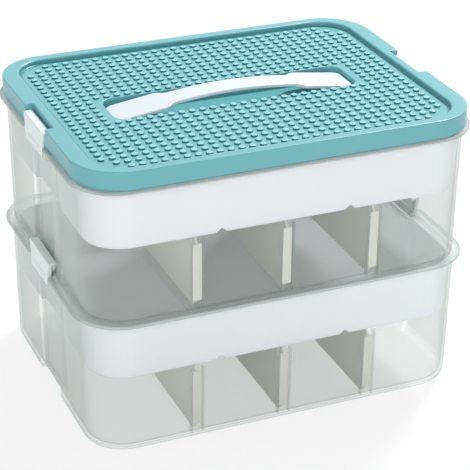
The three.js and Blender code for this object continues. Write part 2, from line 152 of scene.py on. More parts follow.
class Recipe:
    """The node tree of one material or of the world."""

    def __init__(self, tree: bpy.types.NodeTree) -> None:
        """Empties the tree."""
        self.tree = tree
        tree.nodes.clear()

    def add(self, kind: Shader, inputs: dict | None = None, output: int | str = 0, **settings: str) -> Term:
        """Adds one node.

        Args:
            kind: the node's type.
            inputs: values or terms by the name or number of the socket.
            output: the name or number of the socket that carries the result.
            settings: the node's properties, which are set first.

        Returns:
            The result as a term.
        """
        node = self.tree.nodes.new(kind.value)
        for name, value in settings.items():
            setattr(node, name, value)
        for name, value in (inputs or {}).items():
            if isinstance(value, Term):
                self.tree.links.new(value.socket, node.inputs[name])
            else:
                node.inputs[name].default_value = value
        return Term(self, node.outputs[output] if node.outputs else None)

    def tone(self) -> Term:
        """The mesh's tone: painted shade below 0 in creases, 0 on plain faces, a painted highlight or
        thickness above 0.
        """
        return self.add(Shader.ATTRIBUTE, output="Fac", attribute_name=Skin.tone_name)

    def noise(self, scale: float, detail: float, stretch: tuple = (1.0, 1.0, 1.0)) -> Term:
        """Noise on object coordinates.

        Args:
            scale: how many features there are in a metre.
            detail: how many finer layers are added.
            stretch: a scale for each axis.

        Returns:
            A value around one half.
        """
        places = self.add(Shader.COORDINATES, output="Object")
        turned = self.add(Shader.MAPPING, {"Vector": places, "Scale": stretch}, "Vector")
        return self.add(Shader.NOISE, {"Vector": turned, "Scale": scale, "Detail": detail}, "Fac")

    def bump(self, height: Term, depth: float, strength: float) -> Term:
        """The normal of a surface that a height raises by up to a depth."""
        return self.add(Shader.BUMP, {"Height": height, "Distance": depth, "Strength": strength}, "Normal")

    def mix_colours(self, share: Term, first: tuple | Term, second: tuple | Term) -> Term:
        """Mixes two colours by a share that runs from 0 to 1."""
        return self.add(Shader.MIX, {0: share, 6: first, 7: second}, 2, data_type="RGBA")

    def seen_directly(self) -> Term:
        """How directly a ray sees the surface.

        Returns:
            1 for rays from the camera, and for those that a glossy or clear surface sends on.
        """
        camera, glossy, clear = (self.add(Shader.LIGHT_PATH, output=name)
                                 for name in ("Is Camera Ray", "Is Glossy Ray", "Is Transmission Ray"))
        return (camera + glossy + clear).at_most(1.0)

    def show(self, surface: Term, output: Shader = Shader.SURFACE) -> None:
        """Makes a shader the tree's result."""
        self.add(output, {"Surface": surface})


def shade(red: float, green: float, blue: float) -> tuple[float, float, float, float]:
    """A colour in the linear values that a shader takes.

    Args:
        red: the red that the screen shows, from 0 to 255.
        green: the green.
        blue: the blue.

    Returns:
        The colour, with its opacity of 1.
    """
    channels = np.array([red, green, blue]) / 255
    low = channels / 12.92
    high = ((channels + 0.055) / 1.055) ** 2.4
    return (*np.where(channels <= 0.04045, low, high).tolist(), 1.0)


def add_to_scene(name: str, data: bpy.types.ID) -> bpy.types.Object:
    """Puts a new object in the scene.

    Args:
        name: its name.
        data: its mesh, lamp or camera.

    Returns:
        The object.
    """
    thing = bpy.data.objects.new(name, data)
    bpy.context.scene.collection.objects.link(thing)
    return thing


@dataclass(frozen=True)
class Finish:
    """A finish that moves between two colours."""

    name: str
    colour: tuple
    second_colour: tuple

    def surface(self, recipe: Recipe) -> Term:
        """The finish's shader, which each kind of plastic gives."""
        raise NotImplementedError

    def material(self) -> bpy.types.Material:
        """Builds the finish's material.

        Returns:
            The material.
        """
        material = bpy.data.materials.new(self.name)
        material.use_nodes = True
        recipe = Recipe(material.node_tree)
        recipe.show(self.surface(recipe))
        return material


@dataclass(frozen=True)
class MouldedPlastic(Finish):
    """Moulded plastic: faint clouds in the colour, fine texture from the mould, and uneven gloss."""

    cloud_scale: float = 14.0
    cloud_detail: float = 3.0
    roughness: float = 0.3
    roughness_spread: float = 0.08
    smear_scale: float = 70.0
    smear_detail: float = 4.0
    smear_stretch: tuple = (1.0, 1.0, 2.5)
    grain_scale: float = 900.0
    grain_detail: float = 2.0
    grain_depth: float = 0.04 * MM
    grain_strength: float = 0.25
    index: float = 1.49

    def surface_colour(self, recipe: Recipe) -> Term:
        """The two colours, mixed by soft clouds."""
        clouds = recipe.noise(self.cloud_scale, self.cloud_detail)
        return recipe.mix_colours(clouds, self.colour, self.second_colour)

    def surface(self, recipe: Recipe) -> Term:
        """Plastic whose colour, gloss and fine relief vary over the surface.

        Args:
            recipe: the material's nodes.

        Returns:
            The shader.
        """
        smears = recipe.noise(self.smear_scale, self.smear_detail, self.smear_stretch)
        grain = recipe.noise(self.grain_scale, self.grain_detail)
        return recipe.add(Shader.PLASTIC, {
            "Base Color": self.surface_colour(recipe),
            "Roughness": self.roughness + (smears - 0.5) * self.roughness_spread,
            "Normal": recipe.bump(grain, self.grain_depth, self.grain_strength),
            "IOR": self.index,
        })


@dataclass(frozen=True)
class ShadePaintedPlastic(MouldedPlastic):
    """Moulded plastic with painted shade down in its creases and a painted highlight on its proud faces."""

    # painted shade and painted highlight: colours that stand in for shadow and light
    painted_shade: tuple = shade(30, 118, 127)
    painted_highlight: tuple = shade(142, 208, 215)

    def surface_colour(self, recipe: Recipe) -> Term:
        """The clouded colours, with painted shade where the mesh's tone is below 0 and a painted highlight
        above 0.

        Args:
            recipe: the material's nodes.

        Returns:
            The colour.
        """
        tone = recipe.tone()
        # painted shade where the tone is below 0, then a painted highlight where it is above 0
        sunk = recipe.mix_colours((0.0 - tone).at_least(0.0), super().surface_colour(recipe), self.painted_shade)
        return recipe.mix_colours(tone.at_least(0.0), sunk, self.painted_highlight)


@dataclass(frozen=True)
class ClearPlastic(Finish):
    """Clear moulded plastic: nearly invisible face on, and of the second colour where thick or edge on."""

    least_opacity: float = 0.09
    edge_opacity: float = 0.72
    edge_sharpness: float = 2.3
    thick_share: float = 0.55
    thick_opacity: float = 0.3
    roughness: float = 0.07
    shine: float = 0.6
    index: float = 1.5
    flow_scale: float = 6.0
    flow_detail: float = 3.0
    flow_stretch: tuple = (1.0, 1.0, 0.35)
    flow_depth: float = 0.1 * MM
    flow_strength: float = 0.2
    haze_scale: float = 72.0
    haze_detail: float = 4.0
    haze_opacity: float = 0.01125
    haze_roughness: float = 0.04

    def surface(self, recipe: Recipe) -> Term:
        """Plastic whose opacity grows towards the edges that turn away from the view.

        Args:
            recipe: the material's nodes.

        Returns:
            The shader.
        """
        edge = recipe.add(Shader.FACING, {"Blend": 0.5}, "Facing") ** self.edge_sharpness
        thick = recipe.tone().at_least(0.0)
        flow = recipe.noise(self.flow_scale, self.flow_detail, self.flow_stretch)
        haze = recipe.noise(self.haze_scale, self.haze_detail)
        tint = (edge + thick * self.thick_share).at_most(1.0)
        opacity = (self.least_opacity + edge * self.edge_opacity + thick * self.thick_opacity
                   + (haze - 0.5) * self.haze_opacity)
        return recipe.add(Shader.PLASTIC, {
            "Base Color": recipe.mix_colours(tint, self.colour, self.second_colour),
            "Roughness": self.roughness + haze * self.haze_roughness,
            "Normal": recipe.bump(flow, self.flow_depth, self.flow_strength),
            "IOR": self.index, "Specular IOR Level": self.shine,
            "Alpha": opacity.at_most(1.0).at_least(0.0),
        })


class Skin:
    """Points, their tones and faces, gathered for one closed mesh or several."""

    tone_name = "tone"

    def __init__(self) -> None:
        """Starts with nothing."""
        self.points: list[np.ndarray] = []
        self.tones: list[np.ndarray] = []
        self.faces: list[list[int]] = []
        self.count = 0

    def add_points(self, points: np.ndarray, tone: np.ndarray | float = 0.0) -> np.ndarray:
        """Adds points.

        Args:
            points: places with any shape that ends in 3.
            tone: painted shade (below 0), or a painted highlight or the thickness of clear plastic (above
                0), spread over the points.

        Returns:
            The points' numbers, in the shape of the places without the last axis.
        """
        numbers = self.count + np.arange(points[..., 0].size).reshape(points.shape[:-1])
        self.points.append(points.reshape(-1, 3))
        self.tones.append(np.broadcast_to(tone, numbers.shape).ravel())
        self.count += numbers.size
        return numbers

    def add_tube(self, grid: np.ndarray, tone: np.ndarray | float = 0.0) -> np.ndarray:
        """Adds a tube of rings, counter-clockwise about the way the rings run.

        Args:
            grid: places with the shape (rings, points round, 3).
            tone: painted shade, painted highlight or thickness, for all of it or ring by ring with the shape
                (rings, 1).

        Returns:
            The points' numbers, with the shape (rings, points round).
        """
        numbers = self.add_points(grid, tone)
        following = np.roll(numbers, -1, axis=1)
        quads = np.stack([numbers[:-1], following[:-1], following[1:], numbers[1:]], axis=-1)
        self.faces += quads.reshape(-1, 4).tolist()
        return numbers

    def cap(self, ring: np.ndarray, facing_back: bool = False) -> None:
        """Closes a ring with one flat face."""
        self.faces.append((ring[::-1] if facing_back else ring).tolist())

    def cap_with_holes(self, rings: list[np.ndarray], facing_back: bool = False) -> None:
        """Closes the first ring with a flat face that leaves the other rings open.

        Args:
            rings: the outline's numbers, then those of each hole.
            facing_back: whether the face looks against the way in which the outline runs.
        """
        everything = np.concatenate(self.points)
        loops = [[Vector(place) for place in everything[ring]] for ring in rings]
        numbers = np.concatenate(rings)
        for a, b, c in tessellate_polygon(loops):
            corners = everything[numbers[[a, b, c]]]
            upward = np.cross(corners[1] - corners[0], corners[2] - corners[0])[2] > 0
            face = numbers[[a, b, c]].tolist()
            self.faces.append(face if upward != facing_back else face[::-1])

    def add_closed_tube(self, grid: np.ndarray, tone: np.ndarray | float = 0.0) -> None:
        """Adds a tube of rings with a flat face at each end.

        Args:
            grid: places with the shape (rings, points round, 3).
            tone: painted shade, painted highlight or thickness, as for add_tube().
        """
        numbers = self.add_tube(grid, tone)
        self.cap(numbers[0], facing_back=True)
        self.cap(numbers[-1])

    def add_at_both_ends(self, grid: np.ndarray) -> None:
        """Adds a closed tube, and the same one turned half-way round the upright axis."""
        for side in Side:
            self.add_closed_tube(side.turned(grid))

    def seat(self, name: str, finish: bpy.types.Material, node: str, body: str = "",
             smooth_angle: float = 38.0) -> None:
        """Makes the finished piece and hands it to the frame.

        Args:
            name: the piece's name.
            finish: its material.
            node: the CAD node that it stands for.
            body: the CAD body that it rides on, where that isn't called like the node.
            smooth_angle: edges bent by more degrees than this stay sharp.
        """
        mesh = bpy.data.meshes.new(name)
        mesh.from_pydata(np.concatenate(self.points), [], self.faces)
        tones = mesh.attributes.new(self.tone_name, "FLOAT", "POINT")
        tones.data.foreach_set("value", np.concatenate(self.tones).astype(np.float32))
        work = bmesh.new()
        work.from_mesh(mesh)
        bmesh.ops.remove_doubles(work, verts=work.verts, dist=0.002 * MM)
        bmesh.ops.dissolve_degenerate(work, edges=work.edges, dist=0.001 * MM)
        bmesh.ops.recalc_face_normals(work, faces=work.faces)
        work.to_mesh(mesh)
        work.free()
        mesh.shade_smooth()
        mesh.set_sharp_from_angle(angle=math.radians(smooth_angle))
        mesh.materials.append(finish)
        piece = add_to_scene(name, mesh)
        piece.modifiers.new("even shading", "WEIGHTED_NORMAL").keep_sharp = True
        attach(piece, body or node)
        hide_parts(node)
        log.info("%s: %d faces, in place of %s", name, len(mesh.polygons), node)


def filleted(corners: list[tuple[float, float, float]], steps: int = 5) -> np.ndarray:
    """An open line with rounded corners.

    Each corner is replaced by the quadratic curve that leaves the line one radius before the corner and
    meets it again one radius after.

    Args:
        corners: the line's points, each with its radius. The two ends aren't rounded.
        steps: how many points each rounding has.

    Returns:
        The points, with the shape (points, 2).
    """
    line, reach = np.split(np.array(corners, float), [2], axis=1)
    corner, reach = line[1:-1], reach[1:-1]

    def leaving(towards: np.ndarray) -> np.ndarray:
        """The point one radius from each corner, on the way to another point."""
        way = towards - corner
        return corner + way / np.linalg.norm(way, axis=1, keepdims=True) * reach

    t = np.linspace(0, 1, steps)[:, None, None]
    curve = (1 - t) ** 2 * leaving(line[:-2]) + 2 * t * (1 - t) * corner + t ** 2 * leaving(line[2:])
    return np.vstack([line[:1], curve.transpose(1, 0, 2).reshape(-1, 2), line[-1:]])


def smooth_step(share: np.ndarray) -> np.ndarray:
    """3 t squared less 2 t cubed, with t held between 0 and 1."""
    t = np.clip(share, 0, 1)
    return t * t * (3 - 2 * t)


def stacked(rings: np.ndarray, places: np.ndarray, along_x: bool = False) -> np.ndarray:
    """Flat rings of (x, y) points put at their heights, or of (y, z) points at their places along X."""
    shift = np.broadcast_to(np.asarray(places, float)[:, None, None], rings.shape[:2] + (1,))
    return np.concatenate([shift, rings] if along_x else [rings, shift], axis=2)


def left_of(way: np.ndarray) -> np.ndarray:
    """Unit vectors at a right angle to the left of each way, with the shape (points, 2)."""
    left = np.stack([-way[:, 1], way[:, 0]], axis=1)
    return left / np.linalg.norm(left, axis=1, keepdims=True)


def round_points(turn: np.ndarray) -> np.ndarray:
    """Points of the unit circle at the given angles, with the shape (points, 2)."""
    return np.stack([np.cos(turn), np.sin(turn)], axis=1)


def rounded_rectangles(halves: np.ndarray, radii: np.ndarray, steps: int) -> np.ndarray:
    """Rounded rectangles about the origin: a quarter circle about each inner corner.

    Args:
        halves: half the sizes, with the shape (rings, 2).
        radii: the corner radius of each ring.
        steps: points in a quarter circle.

    Returns:
        Points with the shape (rings, points, 2), counter-clockwise.
    """
    quarter = np.linspace(0, math.pi / 2, steps)
    circle = round_points(np.concatenate([quarter + quadrant * math.pi / 2 for quadrant in range(4)]))
    signs = np.repeat([[1, 1], [-1, 1], [-1, -1], [1, -1]], steps, axis=0)
    radius = radii[:, None, None]
    return (halves[:, None] - radius) * signs + radius * circle


def soft_levels(thickness: float, radius: float, steps: int) -> tuple[np.ndarray, np.ndarray]:
    """Levels through a thickness that is drawn in by a quarter round towards both its faces.

    Args:
        thickness: from face to face.
        radius: the rounding at each face.
        steps: levels in a quarter round.

    Returns:
        How far each level is drawn in, and how far it lies from the first face.
    """
    quarter = np.linspace(0, math.pi / 2, steps)
    draw_in = radius * np.concatenate([1 - np.sin(quarter), 1 - np.cos(quarter)])
    rise = np.concatenate([radius * (1 - np.cos(quarter)), thickness - radius * (1 - np.sin(quarter))])
    return draw_in, rise


def soft_block(low: tuple, high: tuple, radius: float, steps: int = 4) -> np.ndarray:
    """A block with every edge rounded, as rings for a closed tube.

    A rounded rectangle in X and Y is drawn in by a quarter round towards its bottom and its top.

    Args:
        low: one corner.
        high: the corner across from it, above the first.
        radius: the rounding of the edges.
        steps: points in a quarter round.

    Returns:
        Rings with the shape (levels, points, 3).
    """
    low, high = np.array(low, float), np.array(high, float)
    half = np.abs(high - low) / 2
    draw_in, rise = soft_levels(2 * half[2], radius, steps)
    radii = np.maximum(radius - draw_in, 0.02 * MM)
    rings = rounded_rectangles(half[:2] - draw_in[:, None], radii, steps)
    return stacked((low + high)[:2] / 2 + rings, low[2] + rise)


def rod_along_y(radius: float, x: float, z: float, half_length: float, sides: int = 20) -> np.ndarray:
    """A round rod along Y with softened ends: a circle drawn in by a fifth of its radius at each end.

    Args:
        radius: the rod's radius.
        x: where its middle line lies along X.
        z: the height of its middle line.
        half_length: half its length.
        sides: points round it.

    Returns:
        Rings with the shape (4, sides, 3).
    """
    turn = np.linspace(0, 2 * math.pi, sides, endpoint=False)
    soft = radius / 5
    radii = np.array([radius - soft, radius, radius, radius - soft])[:, None]
    ys = np.array([-half_length, soft - half_length, half_length - soft, half_length])[:, None]
    return np.stack([x + radii * np.sin(turn), ys + 0 * turn, z + radii * np.cos(turn)], axis=-1)


@dataclass(frozen=True)
class NotchedOutline:
    """A rounded rectangle with a notch in the middle of each end, seen from above.

    Every ring is made from its right-hand back quarter, counter-clockwise from the notch.
    """

    half_length: float
    half_depth: float
    corner: float
    notch_depth: float
    notch_half: float
    mouth: float = 0.8 * MM
    least_mouth: float = 0.2 * MM
    inside_share: float = 0.7
    end_growth: float = 1.25
    beside: float = 3 * MM
    end_share: float = 0.9
    side_share: float = 0.98
    corner_steps: int = 20
    notch_steps: int = 5
    stations: tuple = (-0.09, -0.06, -0.03, 0.0, 0.03, 0.06, 0.09)

    @staticmethod
    def arc(corner: tuple, before: tuple, after: tuple, radius: np.ndarray, steps: int) -> np.ndarray:
        """A quarter round at a right-angled corner.

        The point at angle t is the corner, less radius (1 - sin t) along the way in, plus radius (1 - cos t)
        along the way out.

        Args:
            corner: the corner's X and Y in each ring.
            before: the way in.
            after: the way out.
            radius: the radius in each ring.
            steps: points on the arc.

        Returns:
            Points with the shape (rings, steps, 2).
        """
        t = np.linspace(0, math.pi / 2, steps)[None, :, None]
        r = radius[:, None, None]
        return np.stack(corner, axis=1)[:, None] - r * (1 - np.sin(t)) * before + r * (1 - np.cos(t)) * after

    @staticmethod
    def all_round(quarter: np.ndarray, across: np.ndarray, y: np.ndarray) -> np.ndarray:
        """Whole rings: the quarter, the long side, the quarter mirrored, and all that turned half-way round.

        Args:
            quarter: the quarter's points, with the shape (rings, points, 2).
            across: places along X of the long side's points.
            y: where the long side lies in each ring.

        Returns:
            Points with the shape (rings, points, 2).
        """
        side = np.stack(np.broadcast_arrays(across[..., ::-1], y[:, None]), axis=-1)
        back = np.concatenate([quarter, side, quarter[:, ::-1] * [-1, 1]], axis=1)
        return np.concatenate([back, -back], axis=1)

    def notch(self, inset: np.ndarray, x: np.ndarray) -> np.ndarray:
        """The quarter's points that form the notch: its inner corner and its mouth, each a quarter round.

        Args:
            inset: how far each ring lies inside the outline.
            x: where the end wall stands in each ring.

        Returns:
            Points with the shape (rings, points, 2).
        """
        inner = np.maximum(inset, 0)
        notch_x = self.half_length - self.notch_depth - inner
        notch_y = self.notch_half + inner
        mouth = np.maximum(self.mouth - inner, self.least_mouth)
        inside = np.minimum(self.mouth + inner, self.notch_depth * self.inside_share)
        return np.concatenate([
            self.arc((notch_x, notch_y), (0, 1), (1, 0), inside, self.notch_steps),
            self.arc((x, notch_y), (1, 0), (0, 1), mouth, self.notch_steps),
        ], axis=1)

    def rings(self, insets: np.ndarray) -> np.ndarray:
        """The outline at several insets.

        Walls stand inset from the outline, and the notch grows by as much. A negative inset pushes the walls
        out, and further at the ends, while the notch stays.

        Args:
            insets: how far each ring lies inside the outline.

        Returns:
            Points with the shape (rings, points, 2).
        """
        x = self.half_length - np.where(insets < 0, insets * self.end_growth, insets)
        y = self.half_depth - insets
        corner = self.arc((x, y), (0, 1), (-1, 0), self.corner - insets, self.corner_steps)
        quarter = np.concatenate([self.notch(insets, x), corner], axis=1)
        return self.all_round(quarter, np.array(self.stations), y)

    def station_numbers(self) -> tuple[np.ndarray, np.ndarray]:
        """Where the stations lie in a ring.

        Returns:
            The numbers of those on the back side, from right to left, and of those on the front.
        """
        count = len(self.stations)
        back = 2 * self.notch_steps + self.corner_steps
        front = back + count + 2 * self.corner_steps + 4 * self.notch_steps
        return np.arange(back, back + count), np.arange(front, front + count)

    def plain_rings(self, half_length: float, half_depth: float, corner: float,
                    offsets: np.ndarray) -> np.ndarray:
        """Rounded rectangles without a notch, point for point like rings().

        The points that form the notch lie level with it on the straight ends, as it is in the ring beside
        them, and are drawn together where the ends are too short for them.

        Args:
            half_length: half the size along X.
            half_depth: half the size along Y.
            corner: the corner radius.
            offsets: how far each ring lies outside those sizes.

        Returns:
            Points with the shape (rings, points, 2).
        """
        x, y, r = half_length + offsets, half_depth + offsets, corner + offsets
        beside = np.full(1, self.beside)
        notch_ys = self.notch(beside, self.half_length - beside)[0, :, 1]
        shares = np.minimum(1.0, (y - r) * self.end_share / notch_ys[-1])
        end = np.stack(np.broadcast_arrays(x[:, None], shares[:, None] * notch_ys), axis=-1)
        limit = np.minimum(1.0, (x - r) * self.side_share / max(self.stations))
        across = limit[:, None] * self.stations
        rounding = self.arc((x, y), (0, 1), (-1, 0), r, self.corner_steps)
        return self.all_round(np.concatenate([end, rounding], axis=1), across, y)


@dataclass
class BoxSizes:
    """Sizes that the box, its tray and its dividers share."""

    length: float = 295 * MM
    depth: float = 218 * MM
    height: float = 106.2 * MM
    corner: float = 33 * MM
    wall: float = 2 * MM
    lean: float = 1.4 * MM
    channel_depth: float = 3.4 * MM
    channel_half: float = 23.5 * MM
    divider_pitch: float = 68.3 * MM

    def lean_at(self, height: float | np.ndarray) -> float | np.ndarray:
        """How far the wall stands inside its place at the rim, at a height above the foot."""
        return self.lean * (1 - height / self.height)

    def outline(self, stations: tuple = NotchedOutline.stations) -> NotchedOutline:
        """The box's outline at its rim, with the channel in each end."""
        return NotchedOutline(self.length / 2, self.depth / 2, self.corner, self.channel_depth,
                              self.channel_half, stations=stations)


@dataclass
class ClearBox:
    """One clear box: shell with flange, foot, tray ledge, divider guides, catches and latch cheeks."""

    tier: str
    finish: bpy.types.Material
    sizes: BoxSizes = field(default_factory=BoxSizes)
    floor: float = 2 * MM
    floor_reach: float = 12 * MM
    floor_fillet: float = 7 * MM
    foot_inset: float = 1 * MM
    foot_height: float = 4.3 * MM
    foot_radius: float = 3.5 * MM
    foot_step: float = 0.45 * MM
    flange_out: float = 4 * MM
    flange_thickness: float = 2.7 * MM
    flange_fillet: float = 0.9 * MM
    flange_edge: float = 1 * MM
    ledge_drop: float = 6.4 * MM
    ledge_width: float = 1.5 * MM
    ledge_edge: float = 0.4 * MM
    soft: float = 0.5 * MM
    crisp: float = 0.15 * MM
    rooted: float = 0.5 * MM
    rib_apart: float = 7.6 * MM
    rib_width: float = 1.2 * MM
    rib_depth: float = 4.3 * MM
    rib_edge: float = 0.35 * MM
    rib_rise: float = 3.4 * MM
    rib_drop: float = 48.5 * MM
    catch_out: float = 144.4 * MM
    catch_top: float = 10.6 * MM
    catch_height: float = 2.5 * MM
    catch_end_gap: float = 3 * MM
    catch_edge: float = 0.4 * MM
    cheek_width: float = 3.5 * MM
    cheek_out: float = 150.5 * MM
    cheek_height: float = 9.5 * MM
    cheek_rooted: float = 0.9 * MM
    cheek_into_flange: float = 0.6 * MM
    cheek_edge: float = 0.7 * MM

    def profile(self) -> np.ndarray:
        """The wall's section, from the underside round the flange to the floor.

        Returns:
            Points of (inset, height).
        """
        s = self.sizes
        under_flange = s.height - self.flange_thickness
        ledge = s.height - self.ledge_drop
        inner = s.wall + s.lean_at(ledge)
        ledge_inset = inner + self.ledge_width
        foot = s.lean + self.foot_inset
        inside = s.wall + s.lean
        return filleted([
            (foot + self.floor_reach, 0, 0),
            (foot, 0, self.foot_radius),
            (foot, self.foot_height, self.crisp),
            (s.lean_at(self.foot_height), self.foot_height, self.foot_step),
            (s.lean_at(under_flange), under_flange, self.flange_fillet),
            (-self.flange_out, under_flange, self.soft),
            (-self.flange_out, s.height, self.flange_edge),
            (s.wall, s.height, self.soft),
            (inner, ledge, self.crisp),
            (ledge_inset, ledge, self.ledge_edge),
            (ledge_inset, ledge - self.ledge_width, self.soft),
            (inner, ledge - 2 * self.ledge_width, self.soft),
            (inside, self.floor, self.floor_fillet),
            (inside + self.floor_reach, self.floor, 0),
        ], 6)

    def build(self) -> None:
        """Builds the box and seats it. Its flanges carry the tone of thick plastic."""
        node = f"{self.tier}_box"
        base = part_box(node)[0].z
        skin = Skin()
        profile = self.profile()
        thick = smooth_step(-profile[:, 0] / self.flange_out)
        grid = stacked(self.sizes.outline().rings(profile[:, 0]), base + profile[:, 1])
        skin.add_closed_tube(grid, thick[:, None])
        for place in (-self.sizes.divider_pitch, 0.0, self.sizes.divider_pitch):
            self.add_guides(skin, place, base)
        self.add_end_fittings(skin, base)
        skin.seat(f"{self.tier}_clear_box", self.finish, node)

    def add_guides(self, skin: Skin, place: float, base: float) -> None:
        """Adds the ribs that hold a divider's ends, leaning with the walls.

        Args:
            skin: the mesh to add to.
            place: the divider's place along X.
            base: the height of the box's foot.
        """
        s = self.sizes
        near, far = self.rib_apart / 2, self.rib_apart / 2 + self.rib_width
        outer = s.depth / 2 - s.wall - s.lean + self.rooted
        for x0, x1 in ((-far, -near), (near, far)):
            for way in (-1, 1):
                grid = soft_block((place + x0, way * (outer - self.rib_depth), base + self.rib_rise),
                                  (place + x1, way * outer, base + s.height - self.rib_drop), self.rib_edge)
                grid[..., 1] += way * s.lean * (grid[..., 2] - base) / s.height
                skin.add_closed_tube(grid)

    def add_end_fittings(self, skin: Skin, base: float) -> None:
        """Adds the catch in each end's channel and the cheeks that hold the latch's pins.

        Args:
            skin: the mesh to add to.
            base: the height of the box's foot.
        """
        s = self.sizes
        channel_floor = s.length / 2 - s.channel_depth - s.lean - self.rooted
        reach = s.channel_half - self.catch_end_gap
        top, catch_top = base + s.height, base + self.catch_top
        skin.add_at_both_ends(soft_block((channel_floor, -reach, catch_top - self.catch_height),
                                         (self.catch_out, reach, catch_top), self.catch_edge))
        root, foot = s.length / 2 - self.cheek_rooted, top - self.cheek_height
        under = top - self.flange_thickness + self.cheek_into_flange
        for way in (-1, 1):
            near, far = way * s.channel_half, way * (s.channel_half + self.cheek_width)
            skin.add_at_both_ends(soft_block((root, near, foot), (self.cheek_out, far, under),
                                             self.cheek_edge))


@dataclass
class LiftOutTray:
    """One milky tray: a shallow bin with a lip, its floor folded up in two places."""

    tier: str
    finish: bpy.types.Material
    sizes: BoxSizes = field(default_factory=BoxSizes)
    wall: float = 1.6 * MM
    lean: float = 1.4 * MM
    wall_inset: float = 3.9 * MM
    lip_inset: float = 2.35 * MM
    lip_thickness: float = 1.3 * MM
    lip_fillet: float = 0.3 * MM
    lip_under_edge: float = 0.4 * MM
    lip_edge: float = 0.5 * MM
    rim_edge: float = 0.6 * MM
    foot_radius: float = 2.6 * MM
    floor_fillet: float = 2.4 * MM
    floor_reach: float = 8 * MM
    fold_place: float = 49.3 * MM
    fold_half: float = 4 * MM
    fold_height: float = 3 * MM
    fold_fade: float = 14 * MM
    fold_softness: float = 0.03
    fold_stations: tuple = (-6, -4, -3, -2, -1, -0.5, 0, 0.5, 1, 2, 3, 4, 6)
    plain_stations: tuple = (-90, -70, -25, 0, 25, 70, 90)

    def stations(self) -> tuple:
        """Places along X where the long sides have points, close together at the folds."""
        close = (np.array([[-1], [1]]) * self.fold_place + np.array(self.fold_stations) * MM).ravel()
        return tuple(np.sort(np.concatenate([close, np.array(self.plain_stations) * MM])).tolist())

    def fold(self, x: np.ndarray) -> np.ndarray:
        """How high the floor is folded up: a tent over each fold's place, with a rounded ridge.

        Args:
            x: places along X.

        Returns:
            The heights there.
        """
        across = np.abs(np.abs(x) - self.fold_place) / self.fold_half
        tent = np.maximum(1 - np.sqrt(across ** 2 + self.fold_softness), 0)
        return self.fold_height * tent / (1 - math.sqrt(self.fold_softness))

    def profile(self, foot: float, top: float) -> np.ndarray:
        """The wall's section, from the underside round the lip to the floor.

        Args:
            foot: the height of the underside.
            top: the height of the rim.

        Returns:
            Points of (inset, height).
        """
        out_low, out_high = self.wall_inset + self.lean, self.wall_inset
        lip_under = top - self.lip_thickness
        return filleted([
            (out_low + self.floor_reach, foot, 0),
            (out_low, foot, self.foot_radius),
            (out_high, lip_under, self.lip_fillet),
            (self.lip_inset, lip_under, self.lip_under_edge),
            (self.lip_inset, top, self.lip_edge),
            (out_high + self.wall, top, self.rim_edge),
            (out_low + self.wall, foot + self.wall, self.floor_fillet),
            (out_low + self.wall + self.floor_reach, foot + self.wall, 0),
        ], 6)

    def build(self) -> None:
        """Builds the tray and seats it."""
        node = f"{self.tier}_tray"
        low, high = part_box(node)
        outline = self.sizes.outline(self.stations())
        profile = self.profile(low.z, high.z)
        grid = stacked(outline.rings(profile[:, 0]), profile[:, 1])
        rise = grid[..., 2] - low.z
        grid[..., 2] += self.fold(grid[..., 0]) * (1 - smooth_step(rise / self.fold_fade))
        skin = Skin()
        numbers = skin.add_tube(grid)
        self.add_floor(skin, numbers[0], outline, facing_back=True)
        self.add_floor(skin, numbers[-1], outline, facing_back=False)
        skin.seat(f"{self.tier}_milky_tray", self.finish, node, smooth_angle=50.0)

    def add_floor(self, skin: Skin, ring: np.ndarray, outline: NotchedOutline, facing_back: bool) -> None:
        """Closes a ring with a folded floor: strips between facing stations, and a flat face at each end.

        Args:
            skin: the mesh to add to.
            ring: the numbers of the ring's points.
            outline: the outline that the ring was made from.
            facing_back: whether the floor faces down.
        """
        back, front = outline.station_numbers()
        behind, ahead = ring[back][::-1], ring[front]
        strips = np.stack([ahead[:-1], ahead[1:], behind[1:], behind[:-1]], axis=1)
        right = np.concatenate([ring[front[-1]:], ring[:back[0] + 1]])
        left = ring[back[-1]:front[0] + 1]
        for face in [*strips, right, left]:
            skin.cap(face, facing_back)


@dataclass
class DividerPanel:
    """One frosted divider: a thin web with a wider edge at each end."""

    tier: str
    number: int
    finish: bpy.types.Material
    web: float = 1.8 * MM
    web_short: float = 0.5 * MM
    web_edge: float = 0.35 * MM
    end: float = 1.6 * MM
    end_edge: float = 0.5 * MM
    foot_chamfer: float = 7 * MM
    top_chamfer: float = 4 * MM
    soft: float = 1 * MM

    def build(self) -> None:
        """Builds the divider and seats it.

        The web's outline has its corners cut off, and shrinks by a quarter round towards both faces.
        """
        node = f"{self.tier}_divider_{self.number}"
        low, high = (np.array(corner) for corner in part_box(node))
        centre, half = (low + high) / 2, (high - low) / 2
        y, z = half[1] - self.web_short, half[2]
        foot, top = self.foot_chamfer, self.top_chamfer
        right = [(y - foot, -z), (y, foot - z), (y, z - top), (y - top, z)]
        left = [(-across, up) for across, up in right[::-1]]
        corners = [(0, -z), *right, (0, z), *left, (0, -z)]
        outline = filleted([(*corner, self.soft) for corner in corners])[:-1]
        draw_in, across = soft_levels(self.web, self.web_edge, 4)
        section = outline * (1 - draw_in[:, None, None] / np.array([y, z]))
        skin = Skin()
        skin.add_closed_tube(stacked(section, across - self.web / 2, along_x=True) + centre)
        for way in (-1, 1):
            near, far = (centre[1] + way * reach for reach in (half[1] - self.end, half[1]))
            skin.add_closed_tube(soft_block((low[0], near, low[2] + foot), (high[0], far, high[2] - top),
                                            self.end_edge))
        skin.seat(f"{node}_panel", self.finish, node, f"{self.tier}_dividers")


